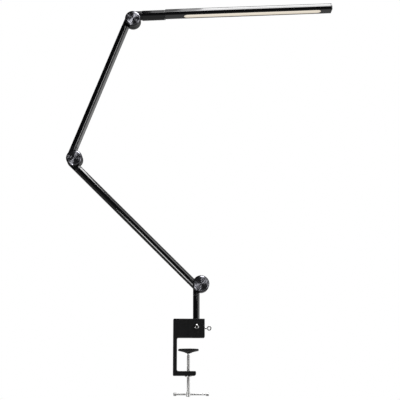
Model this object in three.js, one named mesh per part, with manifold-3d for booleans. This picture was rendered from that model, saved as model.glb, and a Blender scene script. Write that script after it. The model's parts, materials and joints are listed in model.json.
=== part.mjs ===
// Architect desk lamp: a desk clamp, a swivelling post, two arms on friction joints and a straight
// light bar that turns on its own axis. Millimetres, +Z up, X to the bar's side, Y along the joint
// axes (away from the front). The origin is where the clamp screw's axis meets the clamp face that
// rests on the desk.
import * as THREE from "three";
import { mergeVertices } from "three/addons/utils/BufferGeometryUtils.js";
import Module from "manifold-3d";

// ---------------------------------------------------------------- driving sizes
const gap = 0.3; // between pieces that touch, press or are glued
const runGap = 0.5; // between pieces that run past each other

// Clamp
const blockWidth = 59.7; // spine's outer face to the right face
const blockHeight = 35;
const clampDepth = 28;
const spineThickness = 7.4;
const throatHeight = 62.6; // desk face to the top of the lower jaw
const jawThickness = 8.5;
const jawReach = 43.3; // spine's outer face to the jaw's tip
const screwFromSpine = 29.2; // spine's outer face to the clamp screw's axis
const frameChamfer = 0.9;
const frameFillet = 3;

// Clamp screw and its pad
const rodRadius = 3; // M6
const rodLength = 82; // from the ball's centre down
const rodNeckRadius = 1.9;
const rodNeckLength = 3.4;
const rodEndRadius = 3.6; // plain end that takes the cross bar
const rodEndLength = 9;
const ballRadius = 2.5;
const seatWall = 0.9;
const padRadius = 19.6;
const padRimHeight = 1.5;
const padHubRadius = 6.6;
const padHeight = 7.4; // rubber face to the hub's underside
const rubberThickness = 1.5;
const padBelowDesk = 21.2; // rubber face below the desk face at rest
const crossBarRadius = 1.6;
const crossBarLength = 66.8;
const crossBarShift = 5.4; // the bar's middle right of the screw's axis at rest
const crossKnobRadius = 2.9;
const crossKnobLength = 5.5;
const insertRadius = 5.2; // threaded insert in the lower jaw
const insertFlangeRadius = 6.6;
const insertFlangeHeight = 1.4;

// Post and its bearing in the clamp
const postRadius = 6.35; // half-inch tube
const postWall = 1.2;
const postFromScrew = 14.8; // the post's axis right of the clamp screw's axis
const postClearance = 2.45; // from the lower pivot's axis to the post's wall
const postOffset = postRadius + postClearance; // the post's axis left of the lower pivot
const lowerPivotHeight = 102; // above the desk face
const bushingWall = 1.85;
const bushingLip = 2.4;
const bushingLipHole = 4;
const bushingRaise = 0.6; // bushing's underside above the desk face
const plugDepth = 6;
const bushingScrewHeight = 20; // above the desk face
const bushingScrewRadius = 2.5; // M5
const bushingHeadRadius = 4.8;
const bushingHeadHeight = 2.6;
const lockHeight = 17.8;
const lockRadius = 1.5; // M3
const lockTipLength = 2.6;
const lockShankOutside = 4.6;
const lockRingRadius = 4.4;
const lockRingHole = 2.3;
const lockRingThickness = 2.4;
const grommetHeight = 55; // cord inlet in the back of the post
const grommetRadius = 2.7;
const grommetHole = 1.6;

// Friction joints
const jointRadius = 16;
const jointHalf = 12; // from the middle plane to a cap's face
const rimSetback = 1; // a cap's face stands this far out of the rim
const rimChamfer = 0.6;
const capInset = 1.5; // the rim's width around a cap
const capRadius = jointRadius - capInset;
const capBevel = 1.3;
const capThickness = 1.8;
const capSkirt = 1.1;
const capDepth = 3.1;
const floorThickness = 3;
const discWall = 2.8; // from the rim to the hollow
const cavityOuter = jointRadius - discWall;
const pocketFloor = 4.5; // from the middle plane
const bossHeight = 8.3;
const boltRadius = 3; // M6, bored for the wires
const boltBore = 1.5;
const boltHeadRadius = 5;
const boltHeadHeight = 3;
const nutAcross = 10;
const nutHeight = 2.6;
const pocketClearance = 0.33; // around the nut's corners
const pocketRadius = nutAcross / Math.sqrt(3) + pocketClearance;
const bossWall = 1.8;
const bossRadius = pocketRadius + bossWall;
const springThickness = 0.8;
const frictionInner = 6;
const frictionEdge = 3; // from the disc's rim to the friction washer's
const frictionOuter = jointRadius - frictionEdge;
const frictionThickness = 0.4;

// Arms and head
const armRadius = 7.75;
const armWall = 1.5;
const armClearance = 1.45; // half the space between folded tubes, which lie side by side
const armOffset = armRadius + armClearance; // a tube's axis beside its pivots
const lowerArmLength = 350.8; // between pivots
const upperArmLength = 315.1;
const lowerArmAngle = 135.3; // degrees above +X
const upperArmAngle = 69.5;
const headAngle = 3.1;
const stubPastMate = 5.05; // a stub's length beyond the reach of the arm it turns past
const stubEnd = armOffset + armRadius + stubPastMate; // the tube's start, from the pivot
const spigotLength = 16;
const wireRadius = 1.2;
const wireShift = 3; // the wire channel beside the tube's axis
const neckRadius = 10.25;
const neckWall = 1.5;
const neckOffset = 9.1;
const neckStubRadius = 9.7;
const neckPastMate = 2.65;
const neckStart = armOffset + armRadius + neckPastMate; // from the top pivot
const neckLength = 45.4;
const neckEnd = neckStart + neckLength;
const hubFlange = 1.4;
const barRadius = 11.45;
const barWall = 1.2;
const barFlat = 5; // the bar's flat underside below its axis
const barEnd = 411; // from the top pivot
const endPlateThickness = 2.6;
const endPlugLength = 6;
const journalRadius = 5.4;
const bushLength = 12;
const twistNutRadius = 7.2;
const twistNutHeight = 3;
const hubPlugLength = 7;

// Light
const lensEdge = 2.8; // the bar's flat left beside the lens
const lensWidth = 2 * (Math.sqrt(barRadius ** 2 - barFlat ** 2) - lensEdge);
const lensFromNeck = 40.2;
const lensFromEnd = 22.8;
const lensStart = neckEnd + lensFromNeck; // from the top pivot
const lensEnd = barEnd - lensFromEnd;
const lensFlange = 1.3;
const lensFlangeThickness = 0.9;
const boardEdge = 2; // the lens's width left beside the board
const boardWidth = lensWidth - 2 * boardEdge;
const boardThickness = 1.2;
const chipPitch = 9.4;
const chipSize = 3;
const chipThickness = 0.7;
const carrierThickness = 1.5;
const driverFromNeck = 13;
const driverLength = 66;
const driverThickness = 1.2;
const driverPartHeight = 1.2;
const driverHeadroom = 2.25; // above the tallest part, at the middle
const driverStart = neckEnd + driverFromNeck;
const driverHeight = barRadius - barWall - driverHeadroom - driverPartHeight - driverThickness;
const driverStandoff = 1.2; // from the strip up to the driver's board
const carrierTop = driverHeight - driverStandoff;
const carrierBottom = carrierTop - carrierThickness;
const boardHeight = carrierBottom - gap - boardThickness; // above the bar's axis

// Roundness: sides of a full turn
const bigTurn = 40;
const smallTurn = 24;
const hiddenTurn = 16;

// ---------------------------------------------------------------- solids
const wasm = await Module();
wasm.setup();

// A closed geometry as a manifold-3d solid, faces outward.
function solid(geometry) {
  const bare = geometry.index ? geometry.toNonIndexed() : geometry.clone();
  bare.deleteAttribute("normal");
  bare.deleteAttribute("uv");
  const merged = mergeVertices(bare, 1e-4);
  const mesh = new wasm.Mesh({
    numProp: 3,
    vertProperties: merged.attributes.position.array,
    triVerts: new Uint32Array(merged.index.array),
  });
  return new wasm.Manifold(mesh);
}

// A manifold-3d solid as a flat-shaded geometry.
function geometryOf(shape) {
  const mesh = shape.getMesh();
  const geometry = new THREE.BufferGeometry();
  geometry.setAttribute("position", new THREE.BufferAttribute(mesh.vertProperties, 3));
  geometry.setIndex(new THREE.BufferAttribute(mesh.triVerts, 1));
  const flat = geometry.toNonIndexed();
  flat.computeVertexNormals();
  return flat;
}

// A solid turned about an axis. The profile is [radius, height] pairs around the section.
function turned(profile, axis = "z", sides = smallTurn) {
  let area = 0;
  profile.forEach(([r, h], i) => {
    const [nextR, nextH] = profile[(i + 1) % profile.length];
    area += r * nextH - nextR * h;
  });
  const loop = area > 0 ? [...profile] : [...profile].reverse();
  const first = loop.findIndex(([r, h], i) => {
    const [lastR] = loop[(i + loop.length - 1) % loop.length];
    return r === 0 && lastR === 0;
  });
  const open = first >= 0;
  const points = open ? [...loop.slice(first), ...loop.slice(0, first)] : [...loop, loop[0]];
  const geometry = new THREE.LatheGeometry(
    points.map(([r, h]) => new THREE.Vector2(r, h)),
    sides,
  );
  if (axis === "z") geometry.rotateX(Math.PI / 2);
  if (axis === "x") geometry.rotateZ(-Math.PI / 2);
  return solid(geometry);
}

// A plain round bar between two heights on an axis.
function round(radius, from, to, axis = "z", sides = smallTurn) {
  return turned([[0, from], [radius, from], [radius, to], [0, to]], axis, sides);
}

// A tube or ring between two heights on an axis.
function ring(inner, outer, from, to, axis = "z", sides = smallTurn) {
  return turned([[inner, from], [outer, from], [outer, to], [inner, to]], axis, sides);
}

function box(x0, x1, y0, y1, z0, z1) {
  const geometry = new THREE.BoxGeometry(x1 - x0, y1 - y0, z1 - z0);
  geometry.translate((x0 + x1) / 2, (y0 + y1) / 2, (z0 + z1) / 2);
  return solid(geometry);
}

// A closed outline through [x, y, corner radius] points.
function outline(corners) {
  const shape = new THREE.Shape();
  const count = corners.length;
  corners.forEach(([x, y, radius], i) => {
    const toward = (other) => {
      const [ox, oy] = other;
      const length = Math.hypot(ox - x, oy - y);
      return [x + ((ox - x) * radius) / length, y + ((oy - y) * radius) / length];
    };
    const before = toward(corners[(i + count - 1) % count]);
    const after = toward(corners[(i + 1) % count]);
    if (i === 0) shape.moveTo(...before);
    else shape.lineTo(...before);
    if (radius > 0) shape.quadraticCurveTo(x, y, ...after);
  });
  shape.closePath();
  return shape;
}

// An outline drawn in X and Z, made thick along Y about the middle plane.
function slab(shape, depth, chamfer = 0) {
  const geometry = new THREE.ExtrudeGeometry(shape, {
    depth: depth - 2 * chamfer,
    bevelEnabled: chamfer > 0,
    bevelThickness: chamfer,
    bevelSize: chamfer,
    bevelOffset: -chamfer,
    bevelSegments: 1,
    curveSegments: 4,
  });
  geometry.translate(0, 0, -depth / 2 + chamfer);
  geometry.rotateX(Math.PI / 2);
  return solid(geometry);
}

// ---------------------------------------------------------------- assembly
const group = new THREE.Group();
group.name = "architect_desk_lamp";

const looks = {
  satinBlack: { color: 0x232325, roughness: 0.45, metalness: 0.4 },
  glossBlack: { color: 0x0c0c0e, roughness: 0.16, metalness: 0.5 },
  turnedMetal: { color: 0xb4b2ba, roughness: 0.25, metalness: 1 },
  steel: { color: 0xc4c6c8, roughness: 0.24, metalness: 1 },
  rubber: { color: 0x141414, roughness: 0.9, metalness: 0 },
  nylon: { color: 0x1b1b1c, roughness: 0.6, metalness: 0 },
  brass: { color: 0xb08d4a, roughness: 0.35, metalness: 1 },
  diffuser: { color: 0xfbf4e2, roughness: 0.5, metalness: 0 },
  board: { color: 0xe9ece8, roughness: 0.6, metalness: 0 },
  wire: { color: 0x101010, roughness: 0.7, metalness: 0 },
};

function add(name, look, shape, parent = group) {
  const mesh = new THREE.Mesh(geometryOf(shape), new THREE.MeshStandardMaterial(looks[look]));
  mesh.name = name;
  parent.add(mesh);
  return mesh;
}

// A member's own frame: +X along it from the pivot, +Z to its tube's side, Y the joint's axis.
// The member that carries the joint is turned over, so its disc is the back one.
function memberFrame(pivot, degrees, carries) {
  const frame = new THREE.Group();
  frame.position.set(pivot.x, 0, pivot.z);
  frame.rotation.order = "YXZ";
  frame.rotation.set(carries ? Math.PI : 0, -THREE.MathUtils.degToRad(degrees), 0);
  group.add(frame);
  return frame;
}

function along(pivot, length, degrees) {
  const angle = THREE.MathUtils.degToRad(degrees);
  return { x: pivot.x + length * Math.cos(angle), z: pivot.z + length * Math.sin(angle) };
}

const spineX = -screwFromSpine;
const blockRight = spineX + blockWidth;
const lowerPivot = { x: postFromScrew + postOffset, z: lowerPivotHeight };
const middlePivot = along(lowerPivot, lowerArmLength, lowerArmAngle);
const topPivot = along(middlePivot, upperArmLength, upperArmAngle);

// ---------------------------------------------------------------- clamp frame
const bushingRadius = postRadius + gap + bushingWall;
const bushingBore = bushingRadius + gap;
const lockHole = lockRadius + gap;
const jawTop = -throatHeight;
const jawBottom = jawTop - jawThickness;

let frame = slab(
  outline([
    [spineX, jawBottom, 2],
    [spineX + jawReach, jawBottom, 3.4],
    [spineX + jawReach, jawTop, 2.4],
    [spineX + spineThickness, jawTop, frameFillet],
    [spineX + spineThickness, 0, frameFillet],
    [blockRight, 0, 1.2],
    [blockRight, blockHeight, 1.2],
    [spineX, blockHeight, 2],
  ]),
  clampDepth,
  frameChamfer,
);
const postBore = round(bushingBore, -1, blockHeight + 1, "z", bigTurn);
frame = frame
  .subtract(postBore.translate([postFromScrew, 0, 0]))
  .subtract(round(lockHole, postFromScrew, blockRight + 1, "x").translate([0, 0, lockHeight]))
  .subtract(
    round(bushingScrewRadius + gap, -clampDepth, 0, "y").translate([
      postFromScrew,
      0,
      bushingScrewHeight,
    ]),
  )
  .subtract(round(insertRadius + gap, jawBottom - 1, jawTop + 1));
add("clamp_frame", "satinBlack", frame);

add(
  "jaw_insert",
  "steel",
  turned([
    [rodRadius + gap, jawBottom - gap - insertFlangeHeight],
    [insertFlangeRadius, jawBottom - gap - insertFlangeHeight],
    [insertFlangeRadius, jawBottom - gap],
    [insertRadius, jawBottom - gap],
    [insertRadius, jawTop - gap],
    [rodRadius + gap, jawTop - gap],
  ]),
);

// ---------------------------------------------------------------- clamp screw and pad
const padTop = -padBelowDesk;
const seatRadius = ballRadius + gap + seatWall;
const socketRadius = seatRadius + gap;
const cupTop = padTop - rubberThickness - gap;
const padBottom = padTop - padHeight;
const ballHeight = cupTop - 0.8 - socketRadius;

// Points of an arc about the ball's centre, from one angle above the horizon to another.
function ballArc(radius, fromDegrees, toDegrees, steps) {
  return Array.from({ length: steps + 1 }, (_, i) => {
    const angle = THREE.MathUtils.degToRad(fromDegrees + ((toDegrees - fromDegrees) * i) / steps);
    return [Math.abs(angle) === Math.PI / 2 ? 0 : radius * Math.cos(angle),
      ballHeight + radius * Math.sin(angle)];
  });
}

add("pad_rubber", "rubber", round(padRadius - 0.3, padTop - rubberThickness, padTop, "z", bigTurn));
add(
  "pad_cup",
  "satinBlack",
  turned(
    [
      [0, cupTop],
      [padRadius, cupTop],
      [padRadius, cupTop - padRimHeight],
      [padRadius - 1.6, cupTop - padRimHeight - 0.5],
      [padHubRadius + 1.5, padBottom + 1.3],
      [padHubRadius, padBottom + 0.5],
      [padHubRadius - 0.5, padBottom],
      [socketRadius * 0.94, padBottom],
      ...ballArc(socketRadius, -20, 90, 4),
    ],
    "z",
    bigTurn,
  ),
);
const lipDegrees = -35;
add(
  "pad_seat",
  "nylon",
  turned([
    ...ballArc(ballRadius + gap, 90, lipDegrees, 4),
    ...ballArc(seatRadius, lipDegrees, 90, 4),
  ]),
);

const ballFoot = ballHeight - Math.sqrt(ballRadius ** 2 - rodNeckRadius ** 2);
const neckFoot = ballFoot - rodNeckLength;
const rodBottom = ballHeight - rodLength;
const footDegrees = -THREE.MathUtils.radToDeg(Math.acos(rodNeckRadius / ballRadius));
const crossHeight = rodBottom + rodEndLength / 2;
const rod = turned([
  [0, rodBottom],
  [rodEndRadius - 0.6, rodBottom],
  [rodEndRadius, rodBottom + 0.6],
  [rodEndRadius, rodBottom + rodEndLength - 0.6],
  [rodRadius, rodBottom + rodEndLength],
  [rodRadius, neckFoot - 0.8],
  [rodNeckRadius, neckFoot],
  ...ballArc(ballRadius, footDegrees, 90, 4),
]).subtract(
  round(crossBarRadius + gap, -rodEndRadius - 1, rodEndRadius + 1, "x").translate([
    0,
    0,
    crossHeight,
  ]),
);
add("clamp_rod", "steel", rod);

const crossFrom = crossBarShift - crossBarLength / 2;
const crossTo = crossBarShift + crossBarLength / 2;
add(
  "cross_bar",
  "steel",
  round(crossBarRadius, crossFrom + 0.8, crossTo - 0.8, "x").translate([0, 0, crossHeight]),
);
// A knob with a blind hole for the end of the cross bar.
const knobProfile = [
  [0, 0],
  [crossKnobRadius - 1, 0],
  [crossKnobRadius, 1],
  [crossKnobRadius, crossKnobLength - 0.8],
  [crossKnobRadius - 0.8, crossKnobLength],
  [crossBarRadius + gap, crossKnobLength],
  [crossBarRadius + gap, 0.5],
  [0, 0.5],
];
for (const [name, end, outward] of [["left", crossFrom, 1], ["right", crossTo, -1]]) {
  const knob = add(`cross_knob_${name}`, "steel", turned(knobProfile, "x", smallTurn));
  knob.position.set(end, 0, crossHeight);
  knob.rotation.y = outward > 0 ? 0 : Math.PI;
}

// ---------------------------------------------------------------- post bearing and its screws
const lockWindow = lockHole + 0.2;
add(
  "post_bushing",
  "nylon",
  turned(
    [
      [bushingLipHole, bushingRaise],
      [bushingRadius, bushingRaise],
      [bushingRadius, blockHeight - gap],
      [postRadius + gap, blockHeight - gap],
      [postRadius + gap, bushingRaise + bushingLip],
      [bushingLipHole, bushingRaise + bushingLip],
    ],
    "z",
    bigTurn,
  )
    .subtract(round(lockWindow, 0, bushingRadius + 2, "x").translate([0, 0, lockHeight]))
    .translate([postFromScrew, 0, 0]),
);

const headSeat = -clampDepth / 2 - gap;
const hexKey = new THREE.CylinderGeometry(1.75, 1.75, 3.2, 6);
hexKey.translate(0, headSeat - bushingHeadHeight, 0);
add(
  "bushing_screw",
  "steel",
  turned(
    [
      [0, headSeat - bushingHeadHeight],
      [bushingHeadRadius - 1.6, headSeat - bushingHeadHeight],
      [bushingHeadRadius - 0.5, headSeat - bushingHeadHeight + 0.7],
      [bushingHeadRadius, headSeat - 0.9],
      [bushingHeadRadius, headSeat],
      [bushingScrewRadius, headSeat],
      [bushingScrewRadius, -bushingBore],
      [0, -bushingBore],
    ],
    "y",
  )
    .subtract(solid(hexKey))
    .translate([postFromScrew, 0, bushingScrewHeight]),
);

const lockTipFrom = postFromScrew + postRadius + gap;
const lockTipTo = lockTipFrom + lockTipLength;
add(
  "lock_tip",
  "nylon",
  round(lockRadius, lockTipFrom, lockTipTo, "x").translate([0, 0, lockHeight]),
);
const lockHeadCentre = blockRight + lockShankOutside + lockRingRadius;
add(
  "lock_screw",
  "steel",
  round(lockRadius, lockTipTo + gap, lockHeadCentre - lockRingRadius + 1.2, "x")
    .translate([0, 0, lockHeight])
    .add(
      turned(
        [
          [lockRingHole, -lockRingThickness / 2],
          [lockRingRadius - 0.5, -lockRingThickness / 2],
          [lockRingRadius, -lockRingThickness / 2 + 0.5],
          [lockRingRadius, lockRingThickness / 2 - 0.5],
          [lockRingRadius - 0.5, lockRingThickness / 2],
          [lockRingHole, lockRingThickness / 2],
        ],
        "y",
      ).translate([lockHeadCentre, 0, lockHeight]),
    ),
);

// ---------------------------------------------------------------- post
const postBottom = bushingRaise + bushingLip + gap;
const postTop = lowerPivotHeight - stubEnd - gap;
add(
  "post_tube",
  "glossBlack",
  ring(postRadius - postWall, postRadius, postBottom, postTop, "z", bigTurn)
    .subtract(round(grommetRadius + gap, 0, 2 * postRadius, "y").translate([0, 0, grommetHeight]))
    .translate([postFromScrew, 0, 0]),
);
const plugRadius = postRadius - postWall - gap;
const stemRadius = bushingLipHole - gap;
add(
  "post_plug",
  "nylon",
  turned([
    [0, bushingRaise + gap],
    [stemRadius, bushingRaise + gap],
    [stemRadius, postBottom],
    [plugRadius, postBottom],
    [plugRadius, postBottom + plugDepth],
    [0, postBottom + plugDepth],
  ]).translate([postFromScrew, 0, 0]),
);
const grommetInside = Math.sqrt((postRadius - postWall) ** 2 - (grommetRadius + 0.7) ** 2) - gap;
add(
  "cord_grommet",
  "rubber",
  turned(
    [
      [grommetHole, grommetInside - 1.2],
      [grommetRadius + 0.7, grommetInside - 1.2],
      [grommetRadius + 0.7, grommetInside],
      [grommetRadius, grommetInside],
      [grommetRadius, postRadius + gap],
      [grommetRadius + 1.1, postRadius + gap],
      [grommetRadius + 1.1, postRadius + gap + 0.7],
      [grommetRadius + 0.3, postRadius + gap + 1.5],
      [grommetHole, postRadius + gap + 1.5],
    ],
    "y",
  ).translate([postFromScrew, 0, grommetHeight]),
);

// ---------------------------------------------------------------- friction joints
const post = { radius: postRadius, wall: postWall, offset: postOffset, stub: postRadius };
const arm = { radius: armRadius, wall: armWall, offset: armOffset, stub: armRadius };
const neck = { radius: neckRadius, wall: neckWall, offset: neckOffset, stub: neckStubRadius };

// One half of a joint in its member's frame: a cup-shaped disc in front of the middle plane, a half
// stub beside the other half's disc, a full stub beyond it, and a spigot inside the tube.
function knuckle(member, mate, end) {
  const rimTop = -(jointHalf - rimSetback);
  const capFloor = -(jointHalf - capDepth - gap);
  const cavityFloor = -runGap - floorThickness;
  const disc = turned(
    [
      [0, -runGap],
      [jointRadius, -runGap],
      [jointRadius, rimTop + rimChamfer],
      [jointRadius - rimChamfer, rimTop],
      [capRadius + gap, rimTop],
      [capRadius + gap, capFloor],
      [0, capFloor],
    ],
    "y",
    bigTurn,
  )
    .subtract(ring(bossRadius, cavityOuter, capFloor - 1, cavityFloor, "y", hiddenTurn + 8))
    .subtract(round(bossRadius + 1, capFloor - 1, -bossHeight, "y", hiddenTurn))
    .subtract(round(pocketRadius, capFloor - 1, -pocketFloor, "y", hiddenTurn))
    .subtract(round(boltRadius + gap, -jointHalf, 0, "y", hiddenTurn));
  // Beyond the mate's reach the stub is whole; nearer the pivot it keeps to its own side.
  const reach = Math.max(jointRadius, mate.offset + mate.stub) + runGap;
  const stub = round(member.stub, 0, end, "x", bigTurn).translate([0, 0, member.offset]);
  const mateSide = box(-1, reach, -runGap, 2 * member.stub, -1, 3 * member.offset);
  const inDisc = round(jointRadius - 1, -2 * jointHalf, 1, "y", bigTurn);
  const spigotRadius = member.radius - member.wall - gap;
  const spigot = turned(
    [
      [0, end - 1],
      [spigotRadius, end - 1],
      [spigotRadius, end + spigotLength - 1],
      [spigotRadius - 1, end + spigotLength],
      [0, end + spigotLength],
    ],
    "x",
  ).translate([0, 0, member.offset]);
  const channel = round(wireRadius + gap, 0, end + spigotLength + 1, "x", hiddenTurn).translate([
    0,
    -wireShift,
    member.offset,
  ]);
  return stub.subtract(mateSide).subtract(inDisc).add(disc).add(spigot).subtract(channel);
}

// A cap's turned face closes each half of a joint.
function cap() {
  return turned(
    [
      [0, -jointHalf],
      [capRadius - capBevel, -jointHalf],
      [capRadius, -jointHalf + capBevel * 0.6],
      [capRadius, -jointHalf + capDepth],
      [capRadius - capSkirt, -jointHalf + capDepth],
      [capRadius - capSkirt, -jointHalf + capThickness],
      [0, -jointHalf + capThickness],
    ],
    "y",
    bigTurn,
  );
}

// The clamped stack of one joint. The carrying member holds the bolt, the spring and the nut.
function joint(name, lowerFrame, lower, lowerEnd, upperFrame, upper, upperEnd) {
  add(`${name}_knuckle_back`, "satinBlack", knuckle(lower, upper, lowerEnd), lowerFrame);
  add(`${name}_cap_back`, "turnedMetal", cap(), lowerFrame);
  add(`${name}_knuckle_front`, "satinBlack", knuckle(upper, lower, upperEnd), upperFrame);
  add(`${name}_cap_front`, "turnedMetal", cap(), upperFrame);
  add(
    `${name}_friction_washer`,
    "nylon",
    ring(frictionInner, frictionOuter, -frictionThickness / 2, frictionThickness / 2, "y"),
    lowerFrame,
  );
  // In the carrying member's turned-over frame the front of the lamp is at positive Y.
  const springFrom = -pocketFloor - gap - springThickness;
  const nutFrom = springFrom - gap - nutHeight;
  add(
    `${name}_pivot_bolt`,
    "steel",
    turned(
      [
        [boltBore, nutFrom],
        [boltRadius, nutFrom],
        [boltRadius, pocketFloor + gap],
        [boltHeadRadius, pocketFloor + gap],
        [boltHeadRadius, pocketFloor + gap + boltHeadHeight],
        [boltBore, pocketFloor + gap + boltHeadHeight],
      ],
      "y",
      hiddenTurn,
    ),
    lowerFrame,
  );
  add(
    `${name}_spring_washer`,
    "steel",
    turned(
      [
        [boltRadius + gap, springFrom],
        [boltRadius + gap + 0.6, springFrom],
        [boltHeadRadius, springFrom + springThickness / 3],
        [boltHeadRadius, springFrom + springThickness],
        [boltRadius + gap, springFrom + springThickness * 0.7],
      ],
      "y",
      hiddenTurn,
    ),
    lowerFrame,
  );
  const hexRadius = nutAcross / Math.sqrt(3);
  const hex = new THREE.CylinderGeometry(hexRadius, hexRadius, nutHeight, 6);
  hex.translate(0, nutFrom + nutHeight / 2, 0);
  const nutBore = round(boltRadius + gap, nutFrom - 1, nutFrom + nutHeight + 1, "y", hiddenTurn);
  add(`${name}_pivot_nut`, "steel", solid(hex).subtract(nutBore), lowerFrame);
}

const postFrame = memberFrame(lowerPivot, -90, true);
const lowerArmFrame = memberFrame(lowerPivot, lowerArmAngle, false);
const lowerArmFarFrame = memberFrame(middlePivot, lowerArmAngle + 180, true);
const upperArmFrame = memberFrame(middlePivot, upperArmAngle, false);
const upperArmFarFrame = memberFrame(topPivot, upperArmAngle + 180, true);
const headFrame = memberFrame(topPivot, headAngle, false);

joint("low", postFrame, post, stubEnd, lowerArmFrame, arm, stubEnd);
joint("mid", lowerArmFarFrame, arm, stubEnd, upperArmFrame, arm, stubEnd);
joint("top", upperArmFarFrame, arm, stubEnd, headFrame, neck, neckStart - gap);

// ---------------------------------------------------------------- tubes and wires
// A wire between two [x, y, z] ends that lie in offset channels, straight at each end.
function wire(from, to, lead) {
  const points = [
    from,
    [from[0] + lead * Math.sign(to[0] - from[0]), from[1], from[2]],
    [to[0] - lead * Math.sign(to[0] - from[0]), to[1], to[2]],
    to,
  ].map((p) => new THREE.Vector3(...p));
  const path = new THREE.CatmullRomCurve3(points, false, "centripetal");
  const section = new THREE.Shape();
  section.absarc(0, 0, wireRadius, 0, 2 * Math.PI);
  return solid(
    new THREE.ExtrudeGeometry(section, {
      extrudePath: path,
      steps: 10,
      curveSegments: 5,
      bevelEnabled: false,
    }),
  );
}

const wireLead = spigotLength + 6;
for (const [name, frameOf, length] of [
  ["lower_arm", lowerArmFrame, lowerArmLength],
  ["upper_arm", upperArmFrame, upperArmLength],
]) {
  add(
    `${name}_tube`,
    "glossBlack",
    ring(armRadius - armWall, armRadius, stubEnd + gap, length - stubEnd - gap, "x", bigTurn)
      .translate([0, 0, armOffset]),
    frameOf,
  );
  add(
    `${name}_wire`,
    "wire",
    wire(
      [stubEnd + 4, -wireShift, armOffset],
      [length - stubEnd - 4, wireShift, armOffset],
      wireLead,
    ),
    frameOf,
  );
}
const postWireEnd = lowerPivotHeight - grommetHeight - grommetRadius - 1;
add(
  "post_wire",
  "wire",
  wire([stubEnd + 4, -wireShift, postOffset], [postWireEnd, -wireShift, postOffset], 6),
  postFrame,
);

// ---------------------------------------------------------------- neck
add(
  "neck_tube",
  "glossBlack",
  ring(neckRadius - neckWall, neckRadius, neckStart, neckEnd, "x", bigTurn)
    .translate([0, 0, neckOffset]),
  headFrame,
);
add(
  "twist_bush",
  "nylon",
  ring(
    journalRadius + gap,
    neckRadius - neckWall - gap,
    neckEnd - bushLength,
    neckEnd - gap,
    "x",
  ).translate([0, 0, neckOffset]),
  headFrame,
);
const neckWireEnd = neckEnd - bushLength - twistNutHeight - 3;
add(
  "neck_wire",
  "wire",
  wire([neckStart + 4, -wireShift, neckOffset], [neckWireEnd, -wireShift, neckOffset], 6),
  headFrame,
);

// ---------------------------------------------------------------- light bar
// The bar's section: a circle cut flat below its axis, drawn in Y (across) and Z (up).
function barSection(radius, flat) {
  const shape = new THREE.Shape();
  const half = Math.asin(flat / radius);
  shape.absarc(0, 0, radius, -half, Math.PI + half, false);
  shape.closePath();
  return shape;
}

// A section drawn across the bar, made long from one place to another on the bar's axis.
function barLength(shape, from, to, rounding = 22) {
  const geometry = new THREE.ExtrudeGeometry(shape, {
    depth: to - from,
    bevelEnabled: false,
    curveSegments: rounding,
  });
  geometry.translate(0, 0, from);
  geometry.applyMatrix4(
    new THREE.Matrix4().makeBasis(
      new THREE.Vector3(0, 1, 0),
      new THREE.Vector3(0, 0, 1),
      new THREE.Vector3(1, 0, 0),
    ),
  );
  return solid(geometry).translate([0, 0, neckOffset]);
}

// A plate with round ends lying along the bar, between two heights over the bar's axis.
function stadium(from, to, width, bottom, top) {
  const radius = width / 2;
  const shape = new THREE.Shape();
  shape.absarc(from + radius, 0, radius, Math.PI / 2, (3 * Math.PI) / 2, false);
  shape.absarc(to - radius, 0, radius, -Math.PI / 2, Math.PI / 2, false);
  shape.closePath();
  const geometry = new THREE.ExtrudeGeometry(shape, {
    depth: top - bottom,
    bevelEnabled: false,
    curveSegments: 12,
  });
  geometry.translate(0, 0, bottom);
  return solid(geometry).translate([0, 0, neckOffset]);
}

const barStart = neckEnd + gap + hubFlange + gap;
const shellEnd = barEnd - endPlateThickness - gap;
const insideRadius = barRadius - barWall;
const insideFlat = barFlat - barWall;
add(
  "bar_shell",
  "glossBlack",
  barLength(barSection(barRadius, barFlat), barStart, shellEnd)
    .subtract(barLength(barSection(insideRadius, insideFlat), barStart - 1, shellEnd + 1))
    .subtract(
      stadium(
        lensStart - gap,
        lensEnd + gap,
        lensWidth + 2 * gap,
        -barFlat - 1,
        -insideFlat + 0.5,
      ),
    ),
  headFrame,
);

const flangeBottom = -insideFlat + gap;
add(
  "lens",
  "diffuser",
  stadium(lensStart, lensEnd, lensWidth, -barFlat + 0.2, flangeBottom + 0.4).add(
    stadium(
      lensStart - lensFlange,
      lensEnd + lensFlange,
      lensWidth + 2 * lensFlange,
      flangeBottom,
      flangeBottom + lensFlangeThickness,
    ),
  ),
  headFrame,
);

const boardFrom = lensStart + 4;
const boardTo = lensEnd - 4;
const chipCount = Math.floor((boardTo - boardFrom - chipPitch) / chipPitch);
const chipFirst = (boardFrom + boardTo - (chipCount - 1) * chipPitch) / 2;
let board = box(
  boardFrom,
  boardTo,
  -boardWidth / 2,
  boardWidth / 2,
  boardHeight,
  boardHeight + boardThickness,
);
for (let i = 0; i < chipCount; i++) {
  const x = chipFirst + i * chipPitch;
  board = board.add(
    box(
      x - chipSize / 2,
      x + chipSize / 2,
      -chipSize / 2,
      chipSize / 2,
      boardHeight - chipThickness,
      boardHeight + 0.2,
    ),
  );
}
add("led_board", "board", board.translate([0, 0, neckOffset]), headFrame);

const carrierHalf = Math.sqrt(insideRadius ** 2 - carrierTop ** 2) - gap;
add(
  "led_carrier",
  "turnedMetal",
  box(boardFrom - 6, boardTo + 6, -carrierHalf, carrierHalf, carrierBottom, carrierTop).translate([
    0,
    0,
    neckOffset,
  ]),
  headFrame,
);

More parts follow.
